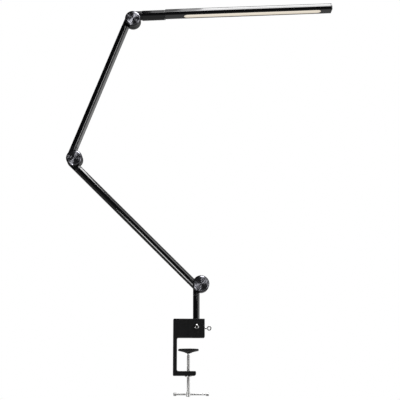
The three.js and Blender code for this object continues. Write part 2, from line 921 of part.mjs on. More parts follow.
const driverTop = driverHeight + driverThickness + driverPartHeight;
const driverHalf = Math.sqrt(insideRadius ** 2 - driverTop ** 2) - gap;
let driver = box(
  driverStart,
  driverStart + driverLength,
  -driverHalf,
  driverHalf,
  driverHeight,
  driverHeight + driverThickness,
);
for (const [x, length, width] of [[10, 8, 7], [26, 6, 5], [42, 9, 6]]) {
  driver = driver.add(
    box(
      driverStart + x,
      driverStart + x + length,
      -width / 2,
      width / 2,
      driverHeight + driverThickness - 0.2,
      driverTop,
    ),
  );
}
add("driver_board", "board", driver.translate([0, 0, neckOffset]), headFrame);

// The hub joins the bar to the neck: a plug in the bar, a flange, and a journal in the neck's bush.
const nutFace = neckEnd - bushLength - gap;
const hubCore = turned(
  [
    [0, nutFace - twistNutHeight],
    [journalRadius, nutFace - twistNutHeight],
    [journalRadius, neckEnd + gap],
    [neckRadius, neckEnd + gap],
    [neckRadius, neckEnd + gap + hubFlange],
    [0, neckEnd + gap + hubFlange],
  ],
  "x",
  bigTurn,
).translate([0, 0, neckOffset]);
const hubPlug = barLength(
  barSection(insideRadius - gap, insideFlat - gap),
  neckEnd + hubFlange,
  barStart + hubPlugLength,
);
const hubBore = round(2, 0, barEnd, "x", hiddenTurn).translate([0, 0, neckOffset]);
add("bar_hub", "satinBlack", hubCore.add(hubPlug).subtract(hubBore), headFrame);
add(
  "twist_nut",
  "steel",
  ring(journalRadius + gap, twistNutRadius, nutFace - twistNutHeight, nutFace, "x", hiddenTurn)
    .translate([0, 0, neckOffset]),
  headFrame,
);

add(
  "bar_end",
  "satinBlack",
  barLength(barSection(barRadius, barFlat), shellEnd + gap, barEnd).add(
    barLength(
      barSection(insideRadius - gap, insideFlat - gap),
      shellEnd - endPlugLength,
      barEnd - endPlateThickness + 0.5,
    ),
  ),
  headFrame,
);

export default group;
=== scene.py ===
import json
import math

import bmesh
import bpy
from mathutils import Matrix, Vector


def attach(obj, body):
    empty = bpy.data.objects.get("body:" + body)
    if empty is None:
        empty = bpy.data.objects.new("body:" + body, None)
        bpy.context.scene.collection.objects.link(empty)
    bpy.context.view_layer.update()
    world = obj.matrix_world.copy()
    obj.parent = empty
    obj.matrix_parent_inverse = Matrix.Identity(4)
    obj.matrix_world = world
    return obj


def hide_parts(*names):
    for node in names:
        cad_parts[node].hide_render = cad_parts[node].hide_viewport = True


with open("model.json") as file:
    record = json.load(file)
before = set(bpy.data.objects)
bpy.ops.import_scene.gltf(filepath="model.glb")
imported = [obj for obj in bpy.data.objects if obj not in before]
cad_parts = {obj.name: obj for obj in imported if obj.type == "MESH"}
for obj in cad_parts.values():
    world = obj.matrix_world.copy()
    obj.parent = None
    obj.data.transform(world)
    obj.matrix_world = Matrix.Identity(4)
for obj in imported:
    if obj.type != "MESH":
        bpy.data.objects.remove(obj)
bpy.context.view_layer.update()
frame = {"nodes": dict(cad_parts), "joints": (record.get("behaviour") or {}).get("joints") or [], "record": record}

MM = 0.001
record = frame["record"]
slot_of = {part["node"]: part["material_slot"] for part in record["subparts"]}
body_of = {node: body for body, nodes in record["behaviour"]["bodies"].items() for node in nodes}
joint_of = {joint["name"]: joint for joint in frame["joints"]}

# ---------------------------------------------------------------- sizes, as in the CAD source
GAP = 0.3
RUN_GAP = 0.5
BLOCK_WIDTH, BLOCK_HEIGHT, CLAMP_DEPTH = 59.7, 35.0, 28.0
SPINE, THROAT, JAW, JAW_REACH, SCREW_FROM_SPINE = 7.4, 62.6, 8.5, 43.3, 29.2
ROD, ROD_LENGTH, ROD_NECK, ROD_NECK_LENGTH = 3.0, 82.0, 1.9, 3.4
ROD_END, ROD_END_LENGTH, BALL, SEAT_WALL = 3.6, 9.0, 2.5, 0.9
THREAD_PITCH, THREAD_DEPTH = 1.0, 0.55
PAD, PAD_RIM, PAD_HUB, PAD_HEIGHT, RUBBER, PAD_TOP = 19.6, 1.5, 6.6, 7.4, 1.5, -21.2
CROSS, CROSS_LENGTH, CROSS_SHIFT, KNOB, KNOB_LENGTH = 1.6, 66.8, 5.4, 2.9, 5.5
INSERT, INSERT_FLANGE, INSERT_FLANGE_HEIGHT = 5.2, 6.6, 1.4
POST, POST_WALL, POST_X, POST_OFFSET = 6.35, 1.2, 14.8, 8.8
BUSHING_WALL, BUSHING_LIP, BUSHING_LIP_HOLE, BUSHING_RAISE = 1.85, 2.4, 4.0, 0.6
SCREW_HEIGHT, SCREW, SCREW_HEAD, SCREW_HEAD_HEIGHT = 20.0, 2.5, 4.8, 2.6
LOCK_HEIGHT, LOCK, LOCK_TIP, LOCK_SHANK = 17.8, 1.5, 2.6, 4.6
LOCK_RING, LOCK_RING_HOLE, LOCK_RING_THICKNESS = 4.4, 2.3, 2.4
GROMMET_HEIGHT, GROMMET, GROMMET_HOLE = 55.0, 2.7, 1.6
JOINT, JOINT_HALF, RIM_SETBACK, RIM_CHAMFER = 16.0, 12.0, 1.0, 0.6
CAP, CAP_BEVEL, CAP_DEPTH = 14.5, 1.3, 3.1
ARM, ARM_WALL, ARM_OFFSET = 7.75, 1.5, 9.2
STUB_END, SPIGOT = 22.0, 16.0
NECK, NECK_WALL, NECK_OFFSET, NECK_STUB, NECK_START, NECK_END = 10.25, 1.5, 9.1, 9.7, 19.6, 65.0
HUB_FLANGE, BAR, BAR_WALL, BAR_FLAT, BAR_END = 1.4, 11.45, 1.2, 5.0, 411.0
END_PLATE, END_PLUG, JOURNAL, BUSH_LENGTH, HUB_PLUG = 2.6, 6.0, 5.4, 12.0, 7.0
LENS_WIDTH, LENS_START, LENS_END, LENS_FLANGE, LENS_FLANGE_THICKNESS = 15.0, 105.2, 388.2, 1.3, 0.9

# Detail that only the looks have.
DISH = 0.3  # how far a cap's turned face sinks towards its middle
HEX_CORNER, HEX_DEPTH = 1.75, 1.6  # the bushing screw's hexagon socket
LOCK_PITCH, LOCK_THREAD_DEPTH = 0.5, 0.3
GROMMET_LIP, GROMMET_FLANGE = 0.7, 1.1  # how far they stand out around the grommet
PLATE_EDGE = 0.9  # rounding of the bar's far end
BAR_FILLET = 0.7

SPINE_X = -SCREW_FROM_SPINE
BLOCK_RIGHT = SPINE_X + BLOCK_WIDTH
JAW_TOP = -THROAT
JAW_BOTTOM = JAW_TOP - JAW


# ---------------------------------------------------------------- finishes
NOISE_SPAN = (0.3, 0.7)  # the part of a noise's range that most of its values fall in


def map_range(tree, value, start, stop, low, high, smooth=False):
    """The value's stretch from start to stop, as one from low to high."""
    ranged = tree.nodes.new("ShaderNodeMapRange")
    if smooth:
        ranged.interpolation_type = "SMOOTHSTEP"
    limits = {"From Min": start, "From Max": stop, "To Min": low, "To Max": high}
    for name, number in limits.items():
        ranged.inputs[name].default_value = number
    tree.links.new(value, ranged.inputs["Value"])
    return ranged.outputs["Result"]


class Finish:
    """A procedural material: colour, roughness and relief come from nodes in the member's own
    frame, which a new piece carries as the attribute "local". A CAD node has its object's frame."""

    def __init__(self, slot, metallic=0.0, ior=1.5, own=True):
        self.material = bpy.data.materials.new(slot if own else f"{slot}_inner")
        self.material.use_nodes = True
        self.tree = self.material.node_tree
        self.nodes, self.links = self.tree.nodes, self.tree.links
        self.shader = self.nodes["Principled BSDF"]
        self.shader.inputs["Metallic"].default_value = metallic
        self.shader.inputs["IOR"].default_value = ior
        if own:
            carried = self.nodes.new("ShaderNodeAttribute")
            carried.attribute_name = "local"
            self.where = carried.outputs["Vector"]
        else:
            self.where = self.nodes.new("ShaderNodeTexCoord").outputs["Object"]
        self.normal = None

    def noise(self, size, stretch=(1, 1, 1), detail=2.0):
        """Noise with grains about size millimetres across, drawn out by stretch along each axis."""
        mapping = self.nodes.new("ShaderNodeMapping")
        mapping.inputs["Scale"].default_value = [1 / (size * MM * s) for s in stretch]
        self.links.new(self.where, mapping.inputs["Vector"])
        noise = self.nodes.new("ShaderNodeTexNoise")
        noise.inputs["Scale"].default_value = 1.0
        noise.inputs["Detail"].default_value = detail
        self.links.new(mapping.outputs["Vector"], noise.inputs["Vector"])
        return noise.outputs["Fac"]

    def rings(self, pitch):
        """Turning marks: circles about the Y axis, pitch millimetres apart."""
        wave = self.nodes.new("ShaderNodeTexWave")
        wave.wave_type = "RINGS"
        wave.rings_direction = "Y"
        wave.inputs["Scale"].default_value = 2 * math.pi / (20 * pitch * MM)
        wave.inputs["Distortion"].default_value = 0.0
        self.links.new(self.where, wave.inputs["Vector"])
        return wave.outputs["Fac"]

    def roughen(self, value, low, high):
        roughness = map_range(self.tree, value, *NOISE_SPAN, low, high)
        self.links.new(roughness, self.shader.inputs["Roughness"])

    def tint(self, value, dark, light, span=NOISE_SPAN, socket="Base Color"):
        mix = self.nodes.new("ShaderNodeMix")
        mix.data_type = "RGBA"
        mix.inputs["A"].default_value = (*dark, 1)
        mix.inputs["B"].default_value = (*light, 1)
        self.links.new(map_range(self.tree, value, *span, 0, 1), mix.inputs["Factor"])
        self.links.new(mix.outputs["Result"], self.shader.inputs[socket])

    def relief(self, value, depth, strength=1.0):
        """Bump of about depth millimetres, on top of any given before."""
        bump = self.nodes.new("ShaderNodeBump")
        bump.inputs["Distance"].default_value = depth * MM
        bump.inputs["Strength"].default_value = strength
        self.links.new(value, bump.inputs["Height"])
        if self.normal:
            self.links.new(self.normal, bump.inputs["Normal"])
        self.normal = bump.outputs["Normal"]
        self.links.new(self.normal, self.shader.inputs["Normal"])


def powder_coat(look):
    look.shader.inputs["Specular IOR Level"].default_value = 0.36
    look.tint(look.noise(9), (0.0062, 0.0062, 0.0067), (0.0092, 0.0092, 0.0098))
    look.roughen(look.noise(2.5), 0.38, 0.46)
    look.relief(look.noise(0.55, detail=3.0), 0.014)


def gloss_anodised(look):
    look.tint(look.noise(14, (6, 1, 1)), (0.0035, 0.0035, 0.0042), (0.0062, 0.0062, 0.0072))
    look.roughen(look.noise(0.8, (60, 1, 1)), 0.05, 0.075)


def satin_anodised(look):
    look.tint(look.noise(6), (0.011, 0.011, 0.0125), (0.017, 0.017, 0.019))
    look.roughen(look.noise(1.2), 0.15, 0.21)
    look.relief(look.noise(0.3, detail=3.0), 0.003, 0.5)


def turned_face(look):
    look.shader.inputs["Anisotropic"].default_value = 1.0
    look.shader.inputs["Anisotropic Rotation"].default_value = 0.25
    around = look.nodes.new("ShaderNodeTangent")
    around.direction_type = "RADIAL"
    around.axis = "Y"
    look.links.new(around.outputs["Tangent"], look.shader.inputs["Tangent"])
    look.tint(look.rings(1.9), (0.40, 0.40, 0.44), (0.44, 0.44, 0.484), (0, 1))
    look.roughen(look.rings(0.83), 0.27, 0.285)


def plated(look, dark, light, smooth=0.32, rough=0.42):
    look.tint(look.noise(3), dark, light)
    look.roughen(look.noise(0.9), smooth, rough)


def bright_plate(look):
    plated(look, (0.86, 0.855, 0.845), (0.92, 0.915, 0.905), 0.38, 0.46)


def polished_plate(look):
    plated(look, (0.56, 0.555, 0.55), (0.66, 0.655, 0.645), 0.07, 0.12)


def plain_plate(look):
    plated(look, (0.42, 0.42, 0.41), (0.52, 0.52, 0.5))


def mill_strip(look):
    look.tint(look.noise(5, (8, 1, 1)), (0.7, 0.7, 0.71), (0.8, 0.8, 0.81))
    look.roughen(look.noise(0.4, (80, 1, 1)), 0.28, 0.42)


def moulded_rubber(look):
    look.tint(look.noise(2), (0.014, 0.014, 0.014), (0.026, 0.026, 0.026))
    look.roughen(look.noise(0.8), 0.76, 0.92)
    look.relief(look.noise(0.4, detail=4.0), 0.03)


def moulded_nylon(look):
    look.tint(look.noise(4), (0.016, 0.016, 0.017), (0.024, 0.024, 0.025))
    look.roughen(look.noise(0.7), 0.48, 0.62)
    look.relief(look.noise(0.4), 0.01, 0.7)


def wire_sheath(look):
    look.tint(look.noise(2), (0.012, 0.012, 0.012), (0.02, 0.02, 0.02))
    look.roughen(look.noise(0.6), 0.62, 0.78)


def solder_mask(look):
    look.tint(look.noise(1.5), (0.8, 0.82, 0.79), (0.88, 0.9, 0.87))
    look.roughen(look.noise(0.5), 0.5, 0.7)


def frosted_lens_with_painted_glow(look):
    """Frosted, with a painted glow: the lens gives off a warm white light of its own that stands in for the light
    falling on it, a little less towards the lens's back edge.
    """
    look.tint(look.noise(6), (0.86, 0.82, 0.72), (0.9, 0.86, 0.77))
    look.roughen(look.noise(0.8), 0.36, 0.5)
    look.relief(look.noise(0.4), 0.006, 0.8)
    across = look.nodes.new("ShaderNodeSeparateXYZ")
    look.links.new(look.where, across.inputs["Vector"])
    half = 0.5 * LENS_WIDTH * MM
    # Painted light: the glow's colour at the lens's near edge and at its back edge.
    near, far = (0.66, 0.60, 0.50), (0.43, 0.375, 0.3)
    look.tint(across.outputs["Y"], near, far, (-half, half), "Emission Color")
    look.shader.inputs["Emission Strength"].default_value = 1.0


METAL = dict(metallic=1.0)
RECIPES = {
    "clamp_black": (powder_coat, {}),
    "arm_black": (gloss_anodised, dict(ior=1.9)),
    "joint_black": (satin_anodised, dict(ior=1.75)),
    "turned_aluminium": (turned_face, METAL),
    "bright_steel": (bright_plate, METAL),
    "polished_steel": (polished_plate, METAL),
    "inner_steel": (plain_plate, METAL),
    "plain_aluminium": (mill_strip, METAL),
    "rubber_black": (moulded_rubber, {}),
    "nylon_black": (moulded_nylon, {}),
    "wire_black": (wire_sheath, {}),
    "board_white": (solder_mask, {}),
    "diffuser": (frosted_lens_with_painted_glow, {}),
}
# The two bright screws by the post are shinier than the rest of their slot.
FINISH_OF = {"bushing_screw": "polished_steel", "lock_screw": "polished_steel"}
made_looks = {}


def look_of(slot, own=True):
    if (slot, own) not in made_looks:
        recipe, settings = RECIPES[slot]
        look = Finish(slot, own=own, **settings)
        recipe(look)
        made_looks[slot, own] = look.material
    return made_looks[slot, own]


# ---------------------------------------------------------------- shapes
def made(bm):
    bmesh.ops.remove_doubles(bm, verts=bm.verts, dist=1e-4)
    bmesh.ops.recalc_face_normals(bm, faces=bm.faces)
    mesh = bpy.data.meshes.new("shape")
    bm.to_mesh(mesh)
    bm.free()
    shape = bpy.data.objects.new("shape", mesh)
    bpy.context.scene.collection.objects.link(shape)
    return shape


def rounded(corners, steps=3, closed=True):
    """(x, y, radius) corners as a line of points whose corners are arcs."""
    points = []
    for i, (x, y, radius) in enumerate(corners):
        here = Vector((x, y))
        before = Vector(corners[i - 1][:2]) - here
        after = Vector(corners[(i + 1) % len(corners)][:2]) - here
        if radius <= 0 or (not closed and i in (0, len(corners) - 1)):
            points.append(here)
            continue
        half = before.angle(after) / 2
        back = min(radius / math.tan(half), 0.5 * before.length, 0.5 * after.length)
        inward = (before.normalized() + after.normalized()).normalized()
        middle = here + inward * back / math.cos(half)
        start = here + before.normalized() * back - middle
        stop = here + after.normalized() * back - middle
        sweep = start.angle(stop)
        for k in range(steps + 1):
            from_start, from_stop = k / steps * sweep, (1 - k / steps) * sweep
            arc = start * math.sin(from_stop) + stop * math.sin(from_start)
            points.append(middle + arc / math.sin(sweep))
    return points


TURNS = {
    "X": lambda r, a, h: (h, r * math.cos(a), r * math.sin(a)),
    "Y": lambda r, a, h: (r * math.sin(a), h, r * math.cos(a)),
    "Z": lambda r, a, h: (r * math.cos(a), r * math.sin(a), h),
}


def skin(bm, rows, closed=False):
    """Faces between rows of vertices, each row a closed ring."""
    pairs = zip(rows, rows[1:] + rows[:1]) if closed else zip(rows, rows[1:])
    for low, high in pairs:
        for i in range(len(low)):
            j = (i + 1) % len(low)
            face = list(dict.fromkeys((low[i], low[j], high[j], high[i])))
            if len(face) > 2:
                bm.faces.new(face)


def turned_rows(bm, line, axis, sides):
    """A ring of vertices for each (radius, height) of a line, or one vertex on the axis."""
    turn = TURNS[axis]
    angles = [2 * math.pi * k / sides for k in range(sides)]
    rows = []
    for r, h in line:
        if r < 1e-6:
            rows.append([bm.verts.new(turn(0, 0, h))] * sides)
        else:
            rows.append([bm.verts.new(turn(r, angle, h)) for angle in angles])
    return rows


def turned(corners, axis="Z", sides=96, at=(0, 0, 0), steps=3):
    """A closed profile of (radius, height, rounding) corners turned about an axis."""
    bm = bmesh.new()
    skin(bm, turned_rows(bm, rounded(corners, steps), axis, sides), closed=True)
    bmesh.ops.translate(bm, verts=bm.verts, vec=at)
    return made(bm)


def bar_of(radius, start, stop, axis="Z", sides=64, at=(0, 0, 0), edge=0.0):
    return turned(
        [(0, start, 0), (radius, start, edge), (radius, stop, edge), (0, stop, 0)], axis, sides, at
    )


def pipe(inner, outer, start, stop, axis="X", sides=96, at=(0, 0, 0), edge=0.25):
    return turned(
        [(inner, start, 0.1), (outer, start, edge), (outer, stop, edge), (inner, stop, 0.1)],
        axis,
        sides,
        at,
    )


def loft(rings):
    """A closed skin through rings of points; each end is one flat face."""
    bm = bmesh.new()
    rows = [[bm.verts.new(point) for point in ring] for ring in rings]
    skin(bm, rows)
    bm.faces.new(list(reversed(rows[0])))
    bm.faces.new(rows[-1])
    return made(bm)


def block(x0, x1, y0, y1, z0, z1):
    return loft([[(x, y0, z0), (x, y1, z0), (x, y1, z1), (x, y0, z1)] for x in (x0, x1)])


def applied(shape):
    graph = bpy.context.evaluated_depsgraph_get()
    mesh = bpy.data.meshes.new_from_object(shape.evaluated_get(graph))
    shape.modifiers.clear()
    shape.data = mesh
    return shape


def combined(shape, tool, operation):
    cut = shape.modifiers.new("cut", "BOOLEAN")
    cut.operation = operation
    cut.solver = "EXACT"
    cut.object = tool
    applied(shape)
    bpy.data.objects.remove(tool)
    return shape


def less(shape, *tools):
    for tool in tools:
        combined(shape, tool, "DIFFERENCE")
    return shape


def plus(shape, *tools):
    for tool in tools:
        combined(shape, tool, "UNION")
    return shape


def eased(shape, width, segments=3, degrees=35):
    """Rounds every edge sharper than an angle."""
    ease = shape.modifiers.new("ease", "BEVEL")
    ease.width = width
    ease.segments = segments
    ease.limit_method = "ANGLE"
    ease.angle_limit = math.radians(degrees)
    ease.use_clamp_overlap = True
    return applied(shape)


def piece(node, shape, place=Matrix(), degrees=32):
    """The shape becomes the shown piece of a CAD node, with its finish, on its body."""
    mesh = shape.data
    mesh.transform(Matrix.Scale(MM, 4))
    local = mesh.attributes.new("local", "FLOAT_VECTOR", "POINT")
    local.data.foreach_set("vector", [number for vertex in mesh.vertices for number in vertex.co])
    mesh.transform(place)
    shape.name = mesh.name = f"{node}_shown"
    mesh.materials.clear()
    mesh.materials.append(look_of(FINISH_OF.get(node, slot_of[node])))
    for polygon in mesh.polygons:
        polygon.use_smooth = True
        polygon.material_index = 0
    mesh.set_sharp_from_angle(angle=math.radians(degrees))
    weigh = shape.modifiers.new("weigh", "WEIGHTED_NORMAL")
    weigh.keep_sharp = True
    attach(shape, body_of[node])
    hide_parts(node)
    return shape


def threaded(foot, head, radius, depth, pitch, start, stop, axis="Z", sides=36):
    """A bar turned from a foot and a head profile, with a right-handed thread between the two."""
    core = radius - depth
    share = (0.0, 0.14, 0.46, 0.68)  # within one pitch: crest from, crest to, root from, root to
    tall = (1, 1, 0, 0)
    bm = bmesh.new()
    skin(bm, turned_rows(bm, foot + [(core, start)], axis, sides))
    skin(bm, turned_rows(bm, [(core, stop)] + head, axis, sides))
    turns = math.ceil((stop - start) / pitch)

    def vertex(i, k):
        height = start + pitch * (i // 4 + share[i % 4] + k / sides)
        free = min(max(min(height - start, stop - height) / pitch, 0), 1)
        radial = core + (depth * tall[i % 4]) * free
        angle = 2 * math.pi * k / sides
        return bm.verts.new(TURNS[axis](radial, angle, min(max(height, start), stop)))

    # Four rows to a pitch, so a turn later row i meets row i + 4. Spare turns lie flat at the ends.
    rows = [[vertex(i, k) for k in range(sides)] for i in range(-4, 4 * turns + 6)]
    for i in range(len(rows) - 5):
        low = rows[i] + [rows[i + 4][0]]
        high = rows[i + 1] + [rows[i + 5][0]]
        for k in range(sides):
            bm.faces.new((low[k], low[k + 1], high[k + 1], high[k]))
    bmesh.ops.remove_doubles(bm, verts=bm.verts, dist=1e-4)
    bmesh.ops.dissolve_degenerate(bm, edges=bm.edges, dist=1e-4)
    return made(bm)


# ---------------------------------------------------------------- places
def point_of(name):
    return Vector(joint_of[name]["pos_m"])


def member(at, degrees, carries=False):
    """A member's frame at a joint. The one that carries the joint has its disc at the back."""
    turn = Matrix.Rotation(math.radians(-degrees), 4, "Y")
    flip = Matrix.Rotation(math.pi, 4, "X") if carries else Matrix()
    return Matrix.Translation(at) @ turn @ flip


def angle_between(low, high):
    return math.degrees(math.atan2(high.z - low.z, high.x - low.x))


low, mid, top = point_of("low_joint"), point_of("mid_joint"), point_of("top_joint")
bar_axis = Vector(joint_of["bar_twist"]["axis"])
LOWER_ARM, UPPER_ARM = (mid - low).length / MM, (top - mid).length / MM
lower_angle, upper_angle = angle_between(low, mid), angle_between(mid, top)
post_frame = member(low, -90, True)
lower_frame, lower_far = member(low, lower_angle), member(mid, lower_angle + 180, True)
upper_frame, upper_far = member(mid, upper_angle), member(top, upper_angle + 180, True)
head_frame = member(top, math.degrees(math.atan2(bar_axis.z, bar_axis.x)))

# ---------------------------------------------------------------- clamp
outline = rounded(
    [
        (SPINE_X, JAW_BOTTOM, 2),
        (SPINE_X + JAW_REACH, JAW_BOTTOM, 3.4),
        (SPINE_X + JAW_REACH, JAW_TOP, 2.4),
        (SPINE_X + SPINE, JAW_TOP, 3),
        (SPINE_X + SPINE, 0, 3),
        (BLOCK_RIGHT, 0, 1.2),
        (BLOCK_RIGHT, BLOCK_HEIGHT, 1.2),
        (SPINE_X, BLOCK_HEIGHT, 2),
    ],
    steps=6,
)
BUSHING = POST + GAP + BUSHING_WALL
BUSHING_BORE = BUSHING + GAP
clamp_sides = [[(x, y, z) for x, z in outline] for y in (-CLAMP_DEPTH / 2, CLAMP_DEPTH / 2)]
clamp = eased(loft(clamp_sides), 0.9, 4)
less(
    clamp,
    bar_of(BUSHING_BORE, -1, BLOCK_HEIGHT + 1, at=(POST_X, 0, 0)),
    bar_of(LOCK + GAP, POST_X, BLOCK_RIGHT + 1, "X", 32, (0, 0, LOCK_HEIGHT)),
    bar_of(SCREW + GAP, -CLAMP_DEPTH, 0, "Y", 32, (POST_X, 0, SCREW_HEIGHT)),
    bar_of(INSERT + GAP, JAW_BOTTOM - 1, JAW_TOP + 1),
)
piece("clamp_frame", eased(clamp, 0.25, 2))

flange_foot = JAW_BOTTOM - GAP - INSERT_FLANGE_HEIGHT
piece(
    "jaw_insert",
    turned(
        [
            (ROD + GAP, flange_foot, 0.3),
            (INSERT_FLANGE, flange_foot, 0.5),
            (INSERT_FLANGE, JAW_BOTTOM - GAP, 0.2),
            (INSERT, JAW_BOTTOM - GAP, 0),
            (INSERT, JAW_TOP - GAP, 0.3),
            (ROD + GAP, JAW_TOP - GAP, 0.3),
        ]
    ),
)

# ---------------------------------------------------------------- clamp screw and pad
SEAT = BALL + GAP + SEAT_WALL
SOCKET = SEAT + GAP
CUP_TOP = PAD_TOP - RUBBER - GAP
PAD_FOOT = PAD_TOP - PAD_HEIGHT
BALL_Z = CUP_TOP - 0.8 - SOCKET


def ball_arc(radius, start, stop, steps=8):
    """Profile points of a ball about the pad's centre, between two angles in degrees."""
    arc = []
    for i in range(steps + 1):
        degrees = start + (stop - start) * i / steps
        a = math.radians(degrees)
        arc.append((radius * math.cos(a) if degrees < 89.9 else 0, BALL_Z + radius * math.sin(a)))
    return arc


piece(
    "pad_rubber",
    turned(
        [
            (0, PAD_TOP - RUBBER, 0),
            (PAD - 0.3, PAD_TOP - RUBBER, 0.2),
            (PAD - 0.3, PAD_TOP, 0.5),
            (PAD - 3.2, PAD_TOP, 0),
            (PAD - 3.7, PAD_TOP - 0.4, 0),
            (PAD - 4.2, PAD_TOP, 0),
            (0, PAD_TOP, 0),
        ]
    ),
)
piece(
    "pad_cup",
    turned(
        [
            (0, CUP_TOP, 0),
            (PAD, CUP_TOP, 0.4),
            (PAD, CUP_TOP - PAD_RIM, 0.5),
            (PAD - 1.6, CUP_TOP - PAD_RIM - 0.5, 0.8),
            (PAD_HUB + 1.5, PAD_FOOT + 1.3, 1.6),
            (PAD_HUB, PAD_FOOT + 0.5, 0.5),
            (PAD_HUB - 0.5, PAD_FOOT, 0.3),
            (SOCKET * 0.94, PAD_FOOT, 0.2),
        ]
        + [(r, h, 0) for r, h in ball_arc(SOCKET, -20, 90)]
    ),
)
piece(
    "pad_seat",
    turned(
        [(r, h, 0) for r, h in ball_arc(BALL + GAP, 90, -35)]
        + [(r, h, 0) for r, h in ball_arc(SEAT, -35, 90)],
        sides=64,
    ),
)

ball_foot = -math.degrees(math.acos(ROD_NECK / BALL))
NECK_FOOT = BALL_Z - math.sqrt(BALL**2 - ROD_NECK**2) - ROD_NECK_LENGTH
ROD_FOOT = BALL_Z - ROD_LENGTH
CROSS_Z = ROD_FOOT + ROD_END_LENGTH / 2
rod_end = rounded(
    [
        (0, ROD_FOOT, 0),
        (ROD_END, ROD_FOOT, 0.8),
        (ROD_END, ROD_FOOT + ROD_END_LENGTH, 0.8),
        (ROD - THREAD_DEPTH, ROD_FOOT + ROD_END_LENGTH + 0.1, 0),
    ],
    closed=False,
)
rod = threaded(
    [tuple(p) for p in rod_end],
    [(ROD - THREAD_DEPTH, NECK_FOOT - 0.8), (ROD_NECK, NECK_FOOT)] + ball_arc(BALL, ball_foot, 90),
    ROD,
    THREAD_DEPTH,
    THREAD_PITCH,
    ROD_FOOT + ROD_END_LENGTH + 0.6,
    NECK_FOOT - 1.2,
)
less(rod, bar_of(CROSS + GAP, -ROD_END - 1, ROD_END + 1, "X", 40, (0, 0, CROSS_Z)))
piece("clamp_rod", rod)

cross_from, cross_to = CROSS_SHIFT - CROSS_LENGTH / 2, CROSS_SHIFT + CROSS_LENGTH / 2
piece("cross_bar", bar_of(CROSS, cross_from + 0.8, cross_to - 0.8, "X", 40, (0, 0, CROSS_Z), 0.2))
for name, end, way in (("left", cross_from, 1), ("right", cross_to, -1)):
    profile = [
        (0, 0, 0),
        (KNOB, 0, 1.3),
        (KNOB, KNOB_LENGTH - 1.5, 0.3),
        (KNOB - 0.45, KNOB_LENGTH - 1.2, 0.1),
        (KNOB, KNOB_LENGTH - 0.9, 0.1),
        (KNOB, KNOB_LENGTH, 0.5),
        (CROSS + GAP, KNOB_LENGTH, 0.15),
        (CROSS + GAP, 0.5, 0),
        (0, 0.5, 0),
    ]
    line = [(r, way * h, edge) for r, h, edge in profile]
    piece(f"cross_knob_{name}", turned(line, "X", 64, (end, 0, CROSS_Z), 4))

# ---------------------------------------------------------------- post bearing and its screws
piece(
    "post_bushing",
    less(
        turned(
            [
                (BUSHING_LIP_HOLE, BUSHING_RAISE, 0.3),
                (BUSHING, BUSHING_RAISE, 0.4),
                (BUSHING, BLOCK_HEIGHT - GAP, 0.3),
                (POST + GAP, BLOCK_HEIGHT - GAP, 0.4),
                (POST + GAP, BUSHING_RAISE + BUSHING_LIP, 0),
                (BUSHING_LIP_HOLE, BUSHING_RAISE + BUSHING_LIP, 0.2),
            ],
            at=(POST_X, 0, 0),
        ),
        bar_of(LOCK + GAP + 0.2, POST_X, POST_X + BUSHING + 2, "X", 32, (0, 0, LOCK_HEIGHT)),
    ),
)
HEAD_SEAT = -CLAMP_DEPTH / 2 - GAP
HEAD_FACE = HEAD_SEAT - SCREW_HEAD_HEIGHT
corners = [math.pi / 3 * k for k in range(6)]
socket = loft(
    [
        [(HEX_CORNER * math.sin(a), y, HEX_CORNER * math.cos(a)) for a in corners]
        for y in (HEAD_FACE - 1, HEAD_FACE + HEX_DEPTH)
    ]
)
button = less(
    turned(
        [
            (0, HEAD_FACE, 0),
            (SCREW_HEAD - 1.9, HEAD_FACE, 1.2),
            (SCREW_HEAD - 0.4, HEAD_FACE + 0.9, 1.0),
            (SCREW_HEAD, HEAD_SEAT - 0.6, 0.4),
            (SCREW_HEAD, HEAD_SEAT, 0.2),
            (SCREW, HEAD_SEAT, 0),
            (SCREW, -BUSHING_BORE, 0.4),
            (0, -BUSHING_BORE, 0),
        ],
        "Y",
        72,
        steps=4,
    ),
    socket,
)
button.data.transform(Matrix.Translation((POST_X, 0, SCREW_HEIGHT)))
piece("bushing_screw", eased(button, 0.1, 2, 40))

LOCK_FROM = POST_X + POST + GAP + LOCK_TIP + GAP
RING_X = BLOCK_RIGHT + LOCK_SHANK + LOCK_RING
RING_FROM = RING_X - LOCK_RING
shank = threaded(
    [(0, LOCK_FROM), (LOCK - 0.45, LOCK_FROM)],
    [(LOCK, RING_FROM - 0.7), (LOCK, RING_FROM + 1.2), (0, RING_FROM + 1.2)],
    LOCK,
    LOCK_THREAD_DEPTH,
    LOCK_PITCH,
    LOCK_FROM + 0.3,
    RING_FROM - 1.0,
    "X",
    28,
)
ring = turned(
    [
        (LOCK_RING_HOLE, -LOCK_RING_THICKNESS / 2, 0.7),
        (LOCK_RING, -LOCK_RING_THICKNESS / 2, 0.8),
        (LOCK_RING, LOCK_RING_THICKNESS / 2, 0.8),
        (LOCK_RING_HOLE, LOCK_RING_THICKNESS / 2, 0.7),
    ],
    "Y",
    72,
    (RING_X, 0, 0),
    4,
)
lock = plus(shank, ring)
lock.data.transform(Matrix.Translation((0, 0, LOCK_HEIGHT)))
piece("lock_screw", lock)

